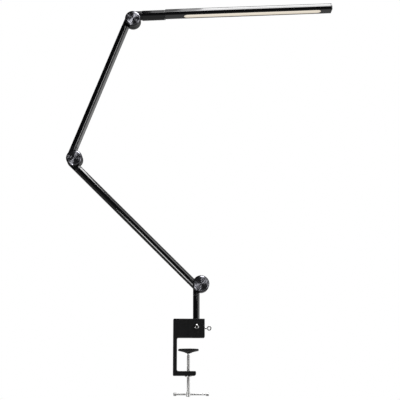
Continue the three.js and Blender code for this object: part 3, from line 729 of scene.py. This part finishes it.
# ---------------------------------------------------------------- post
POST_FOOT = BUSHING_RAISE + BUSHING_LIP + GAP
POST_BORE = POST - POST_WALL
post_length = low.z / MM - POST_FOOT
grommet_x = low.z / MM - GROMMET_HEIGHT
post = less(
    pipe(POST_BORE, POST, STUB_END + GAP, post_length, at=(0, 0, POST_OFFSET), edge=0.3),
    bar_of(GROMMET + GAP, -2 * POST, 0, "Y", 40, (grommet_x, 0, POST_OFFSET)),
)
piece("post_tube", eased(post, 0.12, 2), post_frame)
inside = math.sqrt(POST_BORE**2 - (GROMMET + GROMMET_LIP) ** 2) - GAP
outside = POST + GAP
piece(
    "cord_grommet",
    turned(
        [
            (GROMMET_HOLE, inside - 1.2, 0.3),
            (GROMMET + GROMMET_LIP, inside - 1.2, 0.3),
            (GROMMET + GROMMET_LIP, inside, 0.2),
            (GROMMET, inside, 0),
            (GROMMET, outside, 0),
            (GROMMET + GROMMET_FLANGE, outside, 0.2),
            (GROMMET + GROMMET_FLANGE, outside + 0.8, 0.4),
            (GROMMET + 0.2, outside + 1.5, 0.3),
            (GROMMET_HOLE, outside + 1.5, 0.3),
        ],
        "Y",
        64,
    ),
    Matrix.Translation((POST_X * MM, 0, GROMMET_HEIGHT * MM)),
)


# ---------------------------------------------------------------- friction joints
def knuckle(stub_radius, offset, wall, tube_radius, mate_offset, mate_stub, end):
    """A disc on one side of the middle plane, blended into the stub that carries its tube."""
    rim_top = -(JOINT_HALF - RIM_SETBACK)
    cap_floor = -(JOINT_HALF - CAP_DEPTH - GAP)
    disc = turned(
        [
            (0, -RUN_GAP, 0),
            (JOINT, -RUN_GAP, 0.35),
            (JOINT, rim_top, RIM_CHAMFER),
            (CAP + GAP, rim_top, 0.15),
            (CAP + GAP, cap_floor, 0),
            (0, cap_floor, 0),
        ],
        "Y",
        128,
    )
    reach = max(JOINT, mate_offset + mate_stub) + RUN_GAP
    stub = bar_of(stub_radius, 0, end, "X", 96, (0, 0, offset), 0.3)
    hull = bar_of(JOINT - 1, -2 * JOINT_HALF, 1, "Y", 96)
    less(stub, block(-1, reach, -RUN_GAP, 2 * stub_radius, -2 * stub_radius, 3 * offset), hull)
    whole = eased(plus(disc, stub), 0.35, 2, 38)
    spigot = tube_radius - wall - GAP
    return plus(whole, bar_of(spigot, end - 1, end + SPIGOT, "X", 64, (0, 0, offset), 0.8))


def cap():
    """A joint's turned face, sunk a little towards a small centre mark, with a bevel round it."""
    face_edge = CAP - CAP_BEVEL
    return turned(
        [
            (0, -JOINT_HALF + DISH + 0.12, 0),
            (0.5, -JOINT_HALF + DISH + 0.1, 0.1),
            (0.9, -JOINT_HALF + DISH, 0.1),
            (face_edge - 0.5, -JOINT_HALF + 0.02, 0.2),
            (face_edge, -JOINT_HALF, 0.3),
            (CAP, -JOINT_HALF + CAP_BEVEL * 0.6, 0.3),
            (CAP, -JOINT_HALF + CAP_DEPTH, 0),
            (0, -JOINT_HALF + CAP_DEPTH, 0),
        ],
        "Y",
        128,
    )


post_stub = (POST, POST_OFFSET, POST_WALL, POST)
arm_stub = (ARM, ARM_OFFSET, ARM_WALL, ARM)
neck_stub = (NECK_STUB, NECK_OFFSET, NECK_WALL, NECK)
for name, back, back_frame, front, front_frame, front_end in (
    ("low", post_stub, post_frame, arm_stub, lower_frame, STUB_END),
    ("mid", arm_stub, lower_far, arm_stub, upper_frame, STUB_END),
    ("top", arm_stub, upper_far, neck_stub, head_frame, NECK_START - GAP),
):
    piece(f"{name}_knuckle_back", knuckle(*back, front[1], front[0], STUB_END), back_frame)
    piece(f"{name}_cap_back", cap(), back_frame)
    piece(f"{name}_knuckle_front", knuckle(*front, back[1], back[0], front_end), front_frame)
    piece(f"{name}_cap_front", cap(), front_frame)

# ---------------------------------------------------------------- arms and neck
TUBE_START = STUB_END + GAP
for name, place, length in (
    ("lower_arm_tube", lower_frame, LOWER_ARM),
    ("upper_arm_tube", upper_frame, UPPER_ARM),
):
    tube = pipe(ARM - ARM_WALL, ARM, TUBE_START, length - TUBE_START, at=(0, 0, ARM_OFFSET))
    piece(name, tube, place)
tube = pipe(NECK - NECK_WALL, NECK, NECK_START, NECK_END, at=(0, 0, NECK_OFFSET))
piece("neck_tube", tube, head_frame)

# ---------------------------------------------------------------- light bar
BAR_START = NECK_END + GAP + HUB_FLANGE + GAP
SHELL_END = BAR_END - END_PLATE - GAP
INSIDE, INSIDE_FLAT = BAR - BAR_WALL, BAR_FLAT - BAR_WALL
PLUG, PLUG_FLAT = INSIDE - GAP, INSIDE_FLAT - GAP


def bar_ring(x, radius, flat, steps=84):
    """The bar's section at x: a circle cut flat below its axis, with eased corners."""
    half = math.asin(flat / radius)
    trim = BAR_FILLET / radius
    edge = radius * math.cos(half)
    sweep = math.pi + 2 * half - 2 * trim
    angles = [-half + trim + sweep * i / steps for i in range(steps + 1)]
    arc = [(radius * math.cos(a), radius * math.sin(a)) for a in angles]
    corner = []
    for t in (0.25, 0.5, 0.75, 1.0):
        near, middle, far = (1 - t) ** 2, 2 * t * (1 - t), t**2
        y = near * arc[-1][0] - middle * edge + far * (BAR_FILLET - edge)
        corner.append((y, near * arc[-1][1] - middle * flat - far * flat))
    other = [(-y, z) for y, z in reversed(corner)]
    return [(x, y, z + NECK_OFFSET) for y, z in arc + corner + other]


def stadium(start, stop, width, height, inset=0.0, steps=24):
    """A line with round ends along the bar, at a height over the bar's axis."""
    centre = width / 2
    radius = centre - inset
    turn = [math.pi * i / steps - math.pi / 2 for i in range(steps + 1)]
    right = [(stop - centre + radius * math.cos(a), radius * math.sin(a)) for a in turn]
    left = [(start + centre - radius * math.cos(a), -radius * math.sin(a)) for a in turn]
    return [(x, y, height + NECK_OFFSET) for x, y in right + left]


shell = less(
    loft([bar_ring(x, BAR, BAR_FLAT) for x in (BAR_START, SHELL_END)]),
    loft([bar_ring(x, INSIDE, INSIDE_FLAT) for x in (BAR_START - 1, SHELL_END + 1)]),
    loft(
        [
            stadium(LENS_START - GAP, LENS_END + GAP, LENS_WIDTH + 2 * GAP, z)
            for z in (-BAR_FLAT - 1, -INSIDE_FLAT + 0.5)
        ]
    ),
)
piece("bar_shell", eased(shell, 0.18, 2, 50), head_frame)

FLANGE_FOOT = -INSIDE_FLAT + GAP
flange = (LENS_START - LENS_FLANGE, LENS_END + LENS_FLANGE, LENS_WIDTH + 2 * LENS_FLANGE)
window = (LENS_START, LENS_END, LENS_WIDTH)
# The lens's crown, from its middle out: (inset from the edge, rise into the bar).
crown = [(6.6, 0.0), (4.5, 0.03), (2.4, 0.09), (0.9, 0.16), (0.3, 0.26), (0.0, 0.5)]
piece(
    "lens",
    loft(
        [stadium(*window, -BAR_FLAT + 0.2 + rise, inset) for inset, rise in crown]
        + [stadium(*window, FLANGE_FOOT)]
        + [stadium(*flange, FLANGE_FOOT), stadium(*flange, FLANGE_FOOT + LENS_FLANGE_THICKNESS)]
    ),
    head_frame,
)

journal_end = NECK_END - BUSH_LENGTH - GAP - 3
flange_from = NECK_END + GAP
hub = turned(
    [
        (0, journal_end, 0),
        (JOURNAL, journal_end, 0.3),
        (JOURNAL, flange_from, 0),
        (NECK, flange_from, 0.25),
        (NECK, flange_from + HUB_FLANGE, 0.25),
        (0, flange_from + HUB_FLANGE, 0),
    ],
    "X",
    at=(0, 0, NECK_OFFSET),
)
plug_ends = (NECK_END + HUB_FLANGE, BAR_START + HUB_PLUG)
plus(hub, loft([bar_ring(x, PLUG, PLUG_FLAT) for x in plug_ends]))
less(hub, bar_of(2, 0, BAR_END, "X", 32, (0, 0, NECK_OFFSET)))
piece("bar_hub", hub, head_frame)

plate_rings = [bar_ring(x, BAR, BAR_FLAT) for x in (SHELL_END + GAP, BAR_END - PLATE_EDGE)]
for a in (math.pi / 8, math.pi / 4, 3 * math.pi / 8, math.pi / 2):
    inset = PLATE_EDGE * (1 - math.cos(a))
    x = BAR_END - PLATE_EDGE * (1 - math.sin(a))
    plate_rings.append(bar_ring(x, BAR - inset, BAR_FLAT - inset))
plug_ends = (SHELL_END - END_PLUG, BAR_END - END_PLATE + 0.5)
plug = loft([bar_ring(x, PLUG, PLUG_FLAT) for x in plug_ends])
piece("bar_end", plus(loft(plate_rings), plug), head_frame)

# ---------------------------------------------------------------- nodes kept from the CAD
for node, shown in frame["nodes"].items():
    shown.data.materials.clear()
    shown.data.materials.append(look_of(slot_of[node], own=False))

# ---------------------------------------------------------------- studio
FLOOR_Z, FLOOR_SIZE = -0.75, 15.0  # low enough for the arms' lowest poses
floor_mesh = bmesh.new()
bmesh.ops.create_grid(floor_mesh, x_segments=8, y_segments=8, size=FLOOR_SIZE)
floor = made(floor_mesh)
floor.name = floor.data.name = "floor"
floor.location = (0, 0, FLOOR_Z)
floor.visible_glossy = floor.visible_diffuse = False
floor_look = Finish("floor_pale")
floor_look.tint(floor_look.noise(400), (0.40, 0.40, 0.395), (0.42, 0.42, 0.415))
floor_look.shader.inputs["Emission Color"].default_value = (0.62, 0.62, 0.615, 1)
floor_look.shader.inputs["Emission Strength"].default_value = 1.0
floor_look.roughen(floor_look.noise(60), 0.75, 0.85)
floor.data.materials.append(floor_look.material)


def softbox(name, at, towards, width, height, radiance):
    """An even rectangle of light of a given brightness."""
    lamp = bpy.data.lights.new(name, "AREA")
    lamp.shape = "RECTANGLE"
    lamp.size, lamp.size_y = width, height
    lamp.energy = radiance * math.pi * width * height
    holder = bpy.data.objects.new(name, lamp)
    holder.location = at
    holder.rotation_euler = (Vector(towards) - Vector(at)).to_track_quat("-Z", "Y").to_euler()
    holder.visible_camera = False
    bpy.context.scene.collection.objects.link(holder)
    return holder


# Five overhead boxes make one light, dimmer to the left and dimmer again at the back there.
OVERHEAD_Z = 2.15
for left, right, front, back, radiance in (
    (-0.16, -0.05, -1.74, -1.2, 2.2),
    (-0.16, -0.05, -1.2, 0.5, 0.8),
    (-0.05, 0.03, -1.74, -1.2, 5.2),
    (-0.05, 0.03, -1.2, 0.5, 2.4),
    (0.03, 0.9, -1.74, 0.5, 7.0),
):
    x, y = 0.5 * (left + right), 0.5 * (front + back)
    name = f"overhead_{x:.2f}_{y:.2f}"
    softbox(name, (x, y, OVERHEAD_Z), (x, y, 0), right - left, back - front, radiance)
softbox("front_spot", (2.05, -5.5, 1.4), (-0.1, 0, 0.4), 0.75, 1.3, 5.2)
softbox("upper_spot", (1.5, -1.6, 2.2), (-0.1, 0, 0.25), 1.1, 0.8, 1.5)
softbox("low_strip", (-0.5, -0.56, -0.22), (-0.05, 0, 0.15), 0.2, 0.42, 6.6)

world = bpy.data.worlds.new("studio")
bpy.context.scene.world = world
world.use_nodes = True
nodes, links = world.node_tree.nodes, world.node_tree.links
nodes.clear()
output = nodes.new("ShaderNodeOutputWorld")
seen = nodes.new("ShaderNodeBackground")
seen.inputs["Color"].default_value = (1, 1, 1, 1)
room = nodes.new("ShaderNodeBackground")
direction = nodes.new("ShaderNodeTexCoord")
axes = nodes.new("ShaderNodeSeparateXYZ")
links.new(direction.outputs["Generated"], axes.inputs["Vector"])


def world_math(operation, *values):
    node = nodes.new("ShaderNodeMath")
    node.operation = operation
    for socket, value in zip(node.inputs, values):
        if isinstance(value, (int, float)):
            socket.default_value = value
        else:
            links.new(value, socket)
    return node.outputs["Value"]


# The room is dark on the left and bright on the right, less so overhead. The ground below is grey.
heading = world_math("ARCTAN2", axes.outputs["X"], world_math("MULTIPLY", axes.outputs["Y"], -1.0))
share = world_math("ADD", world_math("DIVIDE", heading, 2 * math.pi), 0.5)
round_about = nodes.new("ShaderNodeValToRGB")
round_about.color_ramp.interpolation = "LINEAR"
BRIGHTEST, OVERHEAD_SHARE, GROUND = 2.6, 0.2, 0.25
# Heading in degrees, from the front round by the right, and the brightness there.
stops = (
    (-180, 0.3), (-150, 0.12), (-60, 0.04), (30, 0.04), (43, 0.1), (50, 0.5), (62, 1.9),
    (80, 2.3), (110, BRIGHTEST), (138, 1.3), (155, 0.45), (180, 0.3),
)
ramp = round_about.color_ramp.elements
for i, (degrees, strength) in enumerate(stops):
    place = degrees / 360 + 0.5
    stop = ramp[i] if i < 1 else ramp.new(place) if i < len(stops) - 1 else ramp[len(ramp) - 1]
    stop.position = place
    stop.color = (strength / BRIGHTEST,) * 3 + (1,)
links.new(share, round_about.inputs["Fac"])
tree, height = world.node_tree, axes.outputs["Z"]
level = nodes.new("ShaderNodeMix")
level.data_type = "FLOAT"
level.inputs["B"].default_value = GROUND
links.new(map_range(tree, height, -0.25, -0.6, 0, 1, smooth=True), level.inputs["Factor"])
upward = map_range(tree, height, -0.2, 0.35, BRIGHTEST, OVERHEAD_SHARE * BRIGHTEST, smooth=True)
links.new(world_math("MULTIPLY", round_about.outputs["Color"], upward), level.inputs["A"])
links.new(level.outputs["Result"], room.inputs["Strength"])
path = nodes.new("ShaderNodeLightPath")
mix = nodes.new("ShaderNodeMixShader")
links.new(path.outputs["Is Camera Ray"], mix.inputs["Fac"])
links.new(room.outputs["Background"], mix.inputs[1])
links.new(seen.outputs["Background"], mix.inputs[2])
links.new(mix.outputs["Shader"], output.inputs["Surface"])

scene = bpy.context.scene
scene.view_settings.view_transform = "Standard"
scene.view_settings.look = "None"
scene.view_settings.exposure = 0.0
scene.view_settings.gamma = 1.0

# ---------------------------------------------------------------- camera
YAW, PITCH = 0.034617, 0.215696  # radians, from looking level along Y
view = bpy.data.cameras.new("view")
view.lens = 81
view.sensor_width = 36
view.sensor_fit = "HORIZONTAL"
view.clip_start = 0.05
view.clip_end = 50
camera = bpy.data.objects.new("view", view)
camera.location = (-0.03787, -1.72631, -0.11041)
level_x, level_y = math.sin(YAW), math.cos(YAW)
forward = Vector((level_x * math.cos(PITCH), level_y * math.cos(PITCH), math.sin(PITCH)))
camera.rotation_euler = forward.to_track_quat("-Z", "Y").to_euler()
scene.collection.objects.link(camera)
scene.camera = camera
